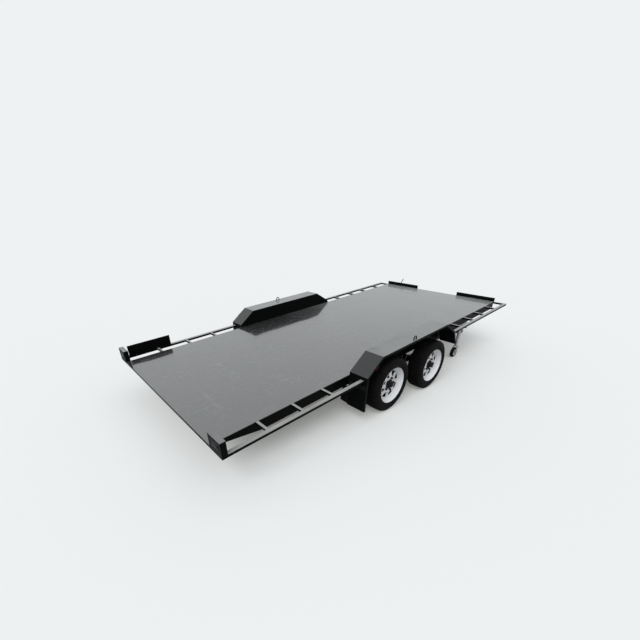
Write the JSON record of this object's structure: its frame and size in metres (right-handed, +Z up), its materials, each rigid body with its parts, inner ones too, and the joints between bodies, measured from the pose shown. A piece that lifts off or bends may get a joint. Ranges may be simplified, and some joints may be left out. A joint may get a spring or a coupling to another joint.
{
  "type": "tilt car trailer",
  "caption": "Flat tilt-bed car trailer with twin axles under mudguards, ladder side rails, a tilt ram, an A-frame drawbar and a jockey wheel.",
  "frame": {"origin": "on the ground under the middle of the trailer's length and width", "axes": "+X forward to the coupling, +Y to the trailer's left, +Z up; the running gear is level and the bed is shown raised a little at its front"},
  "size_m": [6.2766, 2.368, 0.8435],
  "materials": {
    "black_paint": "satin",
    "axle_paint": "satin",
    "hub_paint": "matte",
    "deck_steel": "wet gloss",
    "tyre": "matte",
    "rim_paint": "gloss",
    "zinc": "zinc plated",
    "jockey_rubber": "matte",
    "ram_chrome": "polished",
    "red_lens": "gloss",
    "smoked_lens": "gloss"
  },
  "bodies": {
    "chassis": {"chassis_rail_left": "black_paint", "chassis_rail_right": "black_paint", "cross_tube_rear": "black_paint", "cross_tube_middle": "black_paint", "cross_tube_front": "black_paint", "drawbar": "black_paint", "coupling": "zinc", "axle_front": "axle_paint", "axle_rear": "axle_paint", "spring_front_left": "axle_paint", "spring_front_right": "axle_paint", "spring_rear_left": "axle_paint", "spring_rear_right": "axle_paint", "rocker_left": "axle_paint", "rocker_right": "axle_paint", "jockey_tube": "zinc"},
    "bed": {"deck_plate": "deck_steel", "bed_frame": "black_paint", "side_rail_rear_left": "black_paint", "side_rail_rear_right": "black_paint", "side_rail_front_left": "black_paint", "side_rail_front_right": "black_paint", "mudguard_left": "black_paint", "mudguard_right": "black_paint", "light_box_left": "black_paint", "light_box_right": "black_paint", "tail_lamp_left": "smoked_lens", "tail_lamp_right": "smoked_lens", "marker_lamp_left": "red_lens", "marker_lamp_right": "red_lens", "side_plate_left": "black_paint", "wheel_stop_left": "black_paint", "wheel_stop_right": "black_paint", "lashing_ring_left": "black_paint", "lashing_ring_right": "black_paint", "latch_lever": "black_paint"},
    "wheel_front_left": {"tyre_front_left": "tyre", "rim_front_left": "rim_paint", "hub_front_left": "hub_paint"},
    "wheel_front_right": {"tyre_front_right": "tyre", "rim_front_right": "rim_paint", "hub_front_right": "hub_paint"},
    "wheel_rear_left": {"tyre_rear_left": "tyre", "rim_rear_left": "rim_paint", "hub_rear_left": "hub_paint"},
    "wheel_rear_right": {"tyre_rear_right": "tyre", "rim_rear_right": "rim_paint", "hub_rear_right": "hub_paint"},
    "ram_barrel": {"ram_barrel": "black_paint"},
    "ram_rod": {"ram_rod": "ram_chrome"},
    "jockey_leg": {"jockey_leg": "zinc"},
    "jockey_fork": {"jockey_fork": "zinc"},
    "jockey_wheel": {"jockey_wheel": "jockey_rubber"}
  },
  "joints": [
    {"name": "bed_tilt", "type": "hinge", "parent": "chassis", "child": "bed", "pos_m": [-1.55167, 0, 0.42], "axis": [0, -1, 0], "range_deg": [-4.08, 12.8]},
    {"name": "spin_front_left", "type": "hinge", "parent": "chassis", "child": "wheel_front_left", "pos_m": [-0.34367, 1.0775, 0.298], "axis": [0, 1, 0], "continuous": true},
    {"name": "spin_front_right", "type": "hinge", "parent": "chassis", "child": "wheel_front_right", "pos_m": [-0.34367, -1.0775, 0.298], "axis": [0, 1, 0], "continuous": true},
    {"name": "spin_rear_left", "type": "hinge", "parent": "chassis", "child": "wheel_rear_left", "pos_m": [-1.15967, 1.0775, 0.298], "axis": [0, 1, 0], "continuous": true},
    {"name": "spin_rear_right", "type": "hinge", "parent": "chassis", "child": "wheel_rear_right", "pos_m": [-1.15967, -1.0775, 0.298], "axis": [0, 1, 0], "continuous": true},
    {"name": "ram_swing", "type": "hinge", "parent": "chassis", "child": "ram_barrel", "pos_m": [-1.05167, 0, 0.28], "axis": [0, -1, 0], "range_deg": [-6.5, 19.76]},
    {"name": "ram_slide", "type": "slide", "parent": "ram_barrel", "child": "ram_rod", "axis": [0.9562, 0, 0.2926], "range_m": [-0.0241, 0.0736]},
    {"name": "jockey_wind", "type": "slide", "parent": "chassis", "child": "jockey_leg", "axis": [0, 0, 1], "range_m": [0, 0.09]},
    {"name": "jockey_castor", "type": "hinge", "parent": "jockey_leg", "child": "jockey_fork", "pos_m": [0.94833, -0.87, 0.16], "axis": [0, 0, 1], "continuous": true},
    {"name": "jockey_spin", "type": "hinge", "parent": "jockey_fork", "child": "jockey_wheel", "pos_m": [0.91333, -0.87, 0.075], "axis": [0, 1, 0], "continuous": true}
  ],
  "couplings": [
    {"joint": "ram_swing", "follows": "bed_tilt", "ratio": 1.52},
    {"joint": "ram_slide", "follows": "bed_tilt", "m_per_rad": 0.325}
  ]
}
